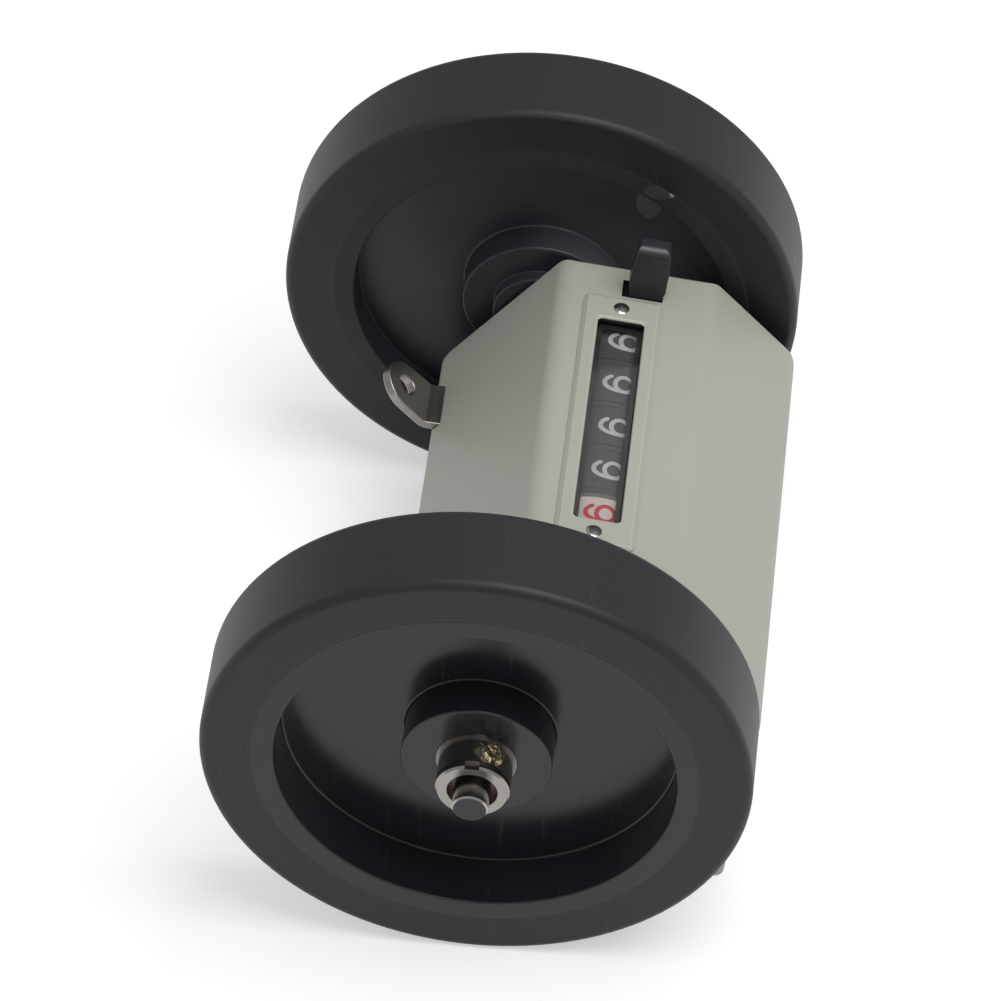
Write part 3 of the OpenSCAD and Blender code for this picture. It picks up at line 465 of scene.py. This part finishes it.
# Figures: printed round each band, ten to a wheel, read along the shaft with their tops towards the
# rear. White ink on the black wheels and red ink on the white one. All five wheels show a nine, each
# turned a little by its play, in degrees.
DRUM_AXIS = (0.01672, -0.00022)
DRUM_R = 0.0134
FIGURE_TALL = 0.0068
FIGURE_WIDE = 0.0049
STROKE = 0.00094
STROKE_TIP = 0.02
INK_LIFT = 0.00003
LOOP_STOPS, LINE_STOPS, CAP_STOPS = 60, 40, 7
STROKE_COLUMNS = 5
NINE_AT = LEAN + math.radians(3.2)
PLAY = {"thousands": 0.0, "hundreds": -0.3, "tens": 0.7, "ones": -0.5, "tenths": -2.8}
FIGURE_STEP = math.radians(36)
WHITE_INK_THIN, WHITE_INK = (0.52, 0.52, 0.52), (0.70, 0.70, 0.69)
RED_INK_THIN, RED_INK = (0.48, 0.05, 0.045), (0.62, 0.035, 0.035)
WELD = 1e-8


def curve(x, y, wide, tall, start, end, steps=36):
    """Points on an ellipse about (x, y), in half figure heights, from one angle to another in degrees."""
    turn = np.radians(np.linspace(start, end, steps))
    return np.column_stack([x + wide * np.cos(turn), y + tall * np.sin(turn)])


def line(*corners):
    """Points along straight pieces between corners, closely spaced."""
    corners = np.array(corners, float)
    share = np.linspace(0, len(corners) - 1, 12 * (len(corners) - 1) + 1)
    return np.column_stack([np.interp(share, np.arange(len(corners)), corners[:, k]) for k in (0, 1)])


loop = curve(0, 0.37, 1, 0.63, 90, 450)
tail = curve(-0.08, 0.14, 1.08, 1.14, 12, -140)
FIGURES = [
    [curve(0, 0, 0.95, 1, 0, 360, 60)],
    [line((-0.5, 0.6), (0.1, 1), (0.1, -1))],
    [np.vstack([curve(0, 0.42, 0.95, 0.58, 165, -35), line((0.75, 0.05), (-0.95, -1), (0.95, -1))])],
    [curve(-0.05, 0.48, 0.9, 0.52, 150, -80), curve(-0.05, -0.48, 1, 0.52, 80, -150)],
    [line((0.95, -0.4), (-1, -0.4), (0.45, 1), (0.45, -1))],
    [np.vstack([line((0.8, 1), (-0.75, 1), (-0.9, 0.1)), curve(-0.05, -0.33, 1, 0.67, 145, -150)])],
    [-loop, -tail],
    [line((-0.95, 1), (0.95, 1), (-0.25, -1))],
    [curve(0, 0.5, 0.82, 0.5, 90, 450), curve(0, -0.5, 1, 0.5, 90, 450)],
    [loop, tail],
]


def ink_stroke(path, across, turn):
    """A pen stroke wrapped on a band: the path is widened by half a stroke to both sides, narrowing as a
    half circle to a tip at its ends, and height on the figure becomes an angle round the band."""
    half = STROKE / 2
    path = path * [(FIGURE_WIDE - STROKE) / 2, (FIGURE_TALL - STROKE) / 2]
    closed = np.linalg.norm(path[0] - path[-1]) < 1e-6
    run = np.concatenate([[0], np.cumsum(np.linalg.norm(np.diff(path, axis=0), axis=1))])
    if closed:
        stops = np.linspace(0, run[-1], LOOP_STOPS)
    else:
        cap = -half * np.cos(np.linspace(0, math.pi / 2, CAP_STOPS))[:-1]
        stops = np.concatenate([cap, np.linspace(0, run[-1], LINE_STOPS), run[-1] - cap[::-1]])
    first, last = path[1] - path[0], path[-1] - path[-2]
    inside = np.clip(stops, 0, run[-1])
    spine = np.column_stack([np.interp(inside, run, path[:, k]) for k in (0, 1)])
    spine += np.minimum(stops, 0)[:, None] * first / np.linalg.norm(first)
    spine += np.maximum(stops - run[-1], 0)[:, None] * last / np.linalg.norm(last)
    over_end = np.maximum(np.maximum(-stops, stops - run[-1]), 0) / half
    width = half * np.sqrt(np.maximum(1 - over_end**2, STROKE_TIP**2))
    along = np.gradient(spine, axis=0)
    if closed:
        along[0] = along[-1] = along[0] + along[-1]
    along /= np.linalg.norm(along, axis=1)[:, None]
    side = np.column_stack([-along[:, 1], along[:, 0]])
    share = np.linspace(-1, 1, STROKE_COLUMNS)[None, :, None]
    flat = spine[:, None] + share * (side * width[:, None])[:, None]
    angle = turn + flat[..., 1] / DRUM_R
    r = DRUM_R + INK_LIFT
    return np.stack([
        across + flat[..., 0],
        DRUM_AXIS[0] + r * np.sin(angle),
        DRUM_AXIS[1] + r * np.cos(angle),
    ], axis=-1)


def grid_faces(rows, columns, start=0):
    """The four corners of each cell of a grid of points, seen from outside."""
    i, j = np.meshgrid(np.arange(rows - 1), np.arange(columns - 1), indexing="ij")
    a = (start + i * columns + j).ravel()
    return np.column_stack([a + columns, a + columns + 1, a + 1, a])


def new_piece(name, points, faces, body, smooth=True):
    """A mesh object at the origin that rides on a body. Points at one place are welded into one, so
    seams are closed."""
    _, kept, welded = np.unique(np.round(points / WELD), axis=0, return_index=True, return_inverse=True)
    mesh = bpy.data.meshes.new(name)
    mesh.from_pydata(points[kept].tolist(), [], welded.ravel()[faces].tolist())
    mesh.update()
    mesh.polygons.foreach_set("use_smooth", [smooth] * len(mesh.polygons))
    made = bpy.data.objects.new(name, mesh)
    bpy.context.scene.collection.objects.link(made)
    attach(made, body)
    return made


def ink(name, thin, full):
    """Printing ink that covers a little unevenly."""
    made = Finish(name)
    cover = made.noise(1500.0, 3.0)
    made.feed("Base Color", made.blend(cover, thin, full))
    made.feed("Roughness", 0.42 + cover * 0.15)
    return made


white_ink = ink("white_figure_ink", WHITE_INK_THIN, WHITE_INK)
red_ink = ink("red_figure_ink", RED_INK_THIN, RED_INK)
for wheel, play in PLAY.items():
    low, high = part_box(wheel + "_wheel")
    points, faces, count = [], [], 0
    for figure, strokes in enumerate(FIGURES):
        turn = NINE_AT + math.radians(play) + (9 - figure) * FIGURE_STEP
        for stroke in strokes:
            grid = ink_stroke(stroke, (low.x + high.x) / 2, turn)
            faces.append(grid_faces(grid.shape[0], grid.shape[1], count))
            points.append(grid.reshape(-1, 3))
            count += len(points[-1])
    new_piece(wheel + "_figures", np.vstack(points), np.vstack(faces), wheel)
    (red_ink if wheel == "tenths" else white_ink).wear(wheel + "_figures")

# Window strip: clear plastic with hair scratches, on a gasket of black fibre cut a little smaller than
# the window. The gasket is painted shade: a dark sheet under the strip that stands for the shade at the
# window's edges and hides the strip's edges.
SHADE_GASKET_X = (-0.03345, 0.02095)
SHADE_GASKET_Y = (0.01242, 0.01958)
SHADE_GASKET_Z = (0.01602, 0.01629)
SHADE_GASKET_ROUND = 0.0006
SHADE_GASKET_WIDE = 0.0020
CORNER_STEPS = 10
SHADE_FIBRE, SHADE_FIBRE_FLUFF = (0.014, 0.014, 0.014), (0.034, 0.034, 0.033)
FLUFF_HIGH = 0.00003
SCRATCH_HIGH = 0.000004

clear = Finish("clear_strip", Base_Color=(1, 1, 1, 1), Transmission_Weight=1.0, IOR=1.45)
scratches = clear.noise(500.0, 3.0, (0.15, 1, 1)).clear_of(0.62, 0.80)
clear.feed("Roughness", 0.02 + scratches * 0.12)
clear.feed("Normal", clear.relief(scratches, SCRATCH_HIGH, 0.4))
clear.wear("window_lens")


def leaned(x, y, z):
    """Points given in the housing's own directions, turned back by LEAN about X."""
    return np.stack([
        x,
        y * math.cos(LEAN) + z * math.sin(LEAN),
        z * math.cos(LEAN) - y * math.sin(LEAN),
    ], axis=-1)


# A profile of four corners is carried round the opening, from the corner at the greatest X and Y: a
# quarter circle at each corner and straight sides between them. The last corner isn't joined to the
# first, so the side at the greatest X is open, under the frame's near end.
stop_count = 4 * CORNER_STEPS + 1
turn = np.radians(np.linspace(0, 360, stop_count))
corner = np.minimum(np.arange(stop_count) // CORNER_STEPS, 3)
corner_x = np.array([SHADE_GASKET_X[1], SHADE_GASKET_X[0], SHADE_GASKET_X[0], SHADE_GASKET_X[1]])[corner]
corner_y = np.array([SHADE_GASKET_Y[1], SHADE_GASKET_Y[1], SHADE_GASKET_Y[0], SHADE_GASKET_Y[0]])[corner]
middle_x = corner_x - np.sign(corner_x - np.mean(SHADE_GASKET_X)) * SHADE_GASKET_ROUND
middle_y = corner_y - np.sign(corner_y - np.mean(SHADE_GASKET_Y)) * SHADE_GASKET_ROUND
reach = SHADE_GASKET_ROUND + np.array([0, 0, SHADE_GASKET_WIDE, SHADE_GASKET_WIDE, 0])
level = np.array([SHADE_GASKET_Z[0], SHADE_GASKET_Z[1], SHADE_GASKET_Z[1], SHADE_GASKET_Z[0], SHADE_GASKET_Z[0]])
ring = leaned(
    middle_x[:, None] + np.cos(turn)[:, None] * reach,
    middle_y[:, None] + np.sin(turn)[:, None] * reach,
    np.ones(stop_count)[:, None] * level,
)
ring_faces = grid_faces(stop_count, len(reach))[:, ::-1]
# Painted shade: a black sheet under the window's edges.
new_piece("window_shade_gasket", ring.reshape(-1, 3), ring_faces, "housing", smooth=False)
shade_fibre = Finish("black_shade_fibre")
fluff = shade_fibre.noise(1800.0, 4.0)
shade_fibre.feed("Base Color", shade_fibre.blend(fluff, SHADE_FIBRE, SHADE_FIBRE_FLUFF))
shade_fibre.feed("Roughness", 0.55 + fluff * 0.2)
shade_fibre.feed("Normal", shade_fibre.relief(fluff, FLUFF_HIGH, 0.5))
shade_fibre.wear("window_shade_gasket")

# Comb: a black moulding whose bars fill the gaps between the number wheels under the window, flush
# with their bands. Its two rails sit in the counter's side plates. Angles are in degrees from the
# housing's own upright.
COMB_GAPS = (-0.02575, -0.01385, -0.00195, 0.00995)
BAR_WIDE = 0.0013
BAR_IN, BAR_OUT = 0.01308, 0.01338
BAR_IN_RISE = 0.0003
BAR_END = 46
BAR_STOPS = 47
RISE_START, RISE_END = 38, 42
RAIL_IN, RAIL_OUT = 0.01375, 0.01450
RAIL_X = (-0.0399, 0.0265)
RAIL_SPANS = ((-48, -42), (42, 48))
RAIL_STOPS = 5


def round_bar(x, inner, outer, angles):
    """A bar of four sides carried round the number wheels' shaft: from x[0] to x[1] along it and from
    the inner to the outer radius, at each angle from upright."""
    corners_x = np.array([x[0], x[1], x[1], x[0], x[0]])[None, :] * np.ones((len(angles), 1))
    radii = np.stack([inner, inner, outer, outer, inner], axis=1)
    y = DRUM_AXIS[0] + radii * np.sin(angles)[:, None]
    z = DRUM_AXIS[1] + radii * np.cos(angles)[:, None]
    return np.stack([corners_x, y, z], axis=-1)


def with_caps(grid):
    """A four-sided bar's points and faces, with its two ends closed."""
    rows = grid.shape[0]
    faces = grid_faces(rows, 5)
    ends = np.array([[0, 1, 2, 3], [5 * rows - 5, 5 * rows - 2, 5 * rows - 3, 5 * rows - 4]])
    return grid.reshape(-1, 3), np.vstack([faces, ends])


bars = []
degrees = np.linspace(-BAR_END, BAR_END, BAR_STOPS)
rise = np.clip((np.abs(degrees) - RISE_START) / (RISE_END - RISE_START), 0, 1)
for gap in COMB_GAPS:
    bar_x = (gap - BAR_WIDE / 2, gap + BAR_WIDE / 2)
    outer = BAR_OUT + rise * (RAIL_OUT - BAR_OUT)
    inner = BAR_IN + rise * BAR_IN_RISE
    bars.append(with_caps(round_bar(bar_x, inner, outer, LEAN + np.radians(degrees))))
for start, end in RAIL_SPANS:
    span = LEAN + np.radians(np.linspace(start, end, RAIL_STOPS))
    same = np.ones(RAIL_STOPS)
    bars.append(with_caps(round_bar(RAIL_X, RAIL_IN * same, RAIL_OUT * same, span)))
starts = np.cumsum([0] + [len(points) for points, _ in bars[:-1]])
points = np.vstack([points for points, _ in bars])
faces = np.vstack([faces + start for (_, faces), start in zip(bars, starts)])
new_piece("wheel_comb", points, faces, "housing", smooth=False)
black_wheel.wear("wheel_comb")

# Reset key: moulded in black plastic with rounded edges, which turns on a pin under the flat top. Its
# top is polished by use, a painted highlight makes its edges pale, and painted shade makes it darkest down
# at the slot.
TOP_Z = (0.024, 0.031)
FOOT_Z = (0.0185, 0.0265)
KEY_BLACK, KEY_RUBBED = (0.020, 0.022, 0.026), (0.028, 0.030, 0.034)
KEY_FOOT_SHADE = (0.008, 0.009, 0.011)
KEY_EDGE_HIGHLIGHT = (0.085, 0.088, 0.094)
KEY_ROUND = 0.0003

key = Finish("black_key")
x, y, z = key.parts(key.place(LEAN))
rubbed = key.noise(220.0, 5.0)
top = z.clear_of(*TOP_Z)
soft_edge, edge = key.rounded(KEY_ROUND)
shade = key.blend(rubbed, KEY_BLACK, KEY_RUBBED)
# Painted shade: darker down towards the slot.
shade = key.blend(1 - z.clear_of(*FOOT_Z), shade, KEY_FOOT_SHADE)
# Painted highlight: paler along the rounded edges.
key.feed("Base Color", key.blend(edge * 0.5, shade, KEY_EDGE_HIGHLIGHT))
key.feed("Roughness", 0.36 - top * 0.08 + rubbed * 0.10)
key.feed("Normal", key.relief(key.noise(1500.0, 2.0), SKIN_HIGH, 0.5, soft_edge))
key.wear("reset_key")

# Studio: a white table that shows white beside the object and keeps its soft shadow, a plain pale
# sky and one large soft lamp overhead.
FLOOR_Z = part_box("near_tyre")[0].z
FLOOR_HALF = 3.0
TABLE_WHITE = (0.62, 0.62, 0.62, 1)
TABLE_GLOW = (0.48, 0.48, 0.48)
LAMP_AT = (0.15, 0.35, 1.1)
LAMP_SIZE = 0.8
LAMP_WATTS = 9.5
SKY_STRENGTH = 0.48

floor_mesh = bpy.data.meshes.new("floor")
corners = [(x * FLOOR_HALF, y * FLOOR_HALF, FLOOR_Z) for x, y in ((-1, -1), (1, -1), (1, 1), (-1, 1))]
floor_mesh.from_pydata(corners, [], [(0, 1, 2, 3)])
floor = bpy.data.objects.new("floor", floor_mesh)
bpy.context.scene.collection.objects.link(floor)
table = Finish("white_table", Base_Color=TABLE_WHITE, Roughness=0.9, Emission_Strength=1.0)
seen = table.node("LightPath", output="Is Camera Ray") + table.node("LightPath", output="Is Glossy Ray")
seen = (seen + table.node("LightPath", output="Is Transmission Ray")).clear_of(0, 1)
table.feed("Emission Color", table.blend(seen, (0, 0, 0), TABLE_GLOW))
floor_mesh.materials.append(table.material)

light = bpy.data.lights.new("top_lamp", "AREA")
light.size = LAMP_SIZE
light.energy = LAMP_WATTS
lamp = bpy.data.objects.new("top_lamp", light)
lamp.location = LAMP_AT
lamp.rotation_euler = (-Vector(LAMP_AT)).to_track_quat("-Z", "Y").to_euler()
bpy.context.scene.collection.objects.link(lamp)

sky = bpy.data.worlds.new("sky")
sky.use_nodes = True
sky.node_tree.nodes["Background"].inputs["Color"].default_value = (1, 1, 1, 1)
sky.node_tree.nodes["Background"].inputs["Strength"].default_value = SKY_STRENGTH
bpy.context.scene.world = sky
bpy.context.scene.view_settings.view_transform = "Standard"
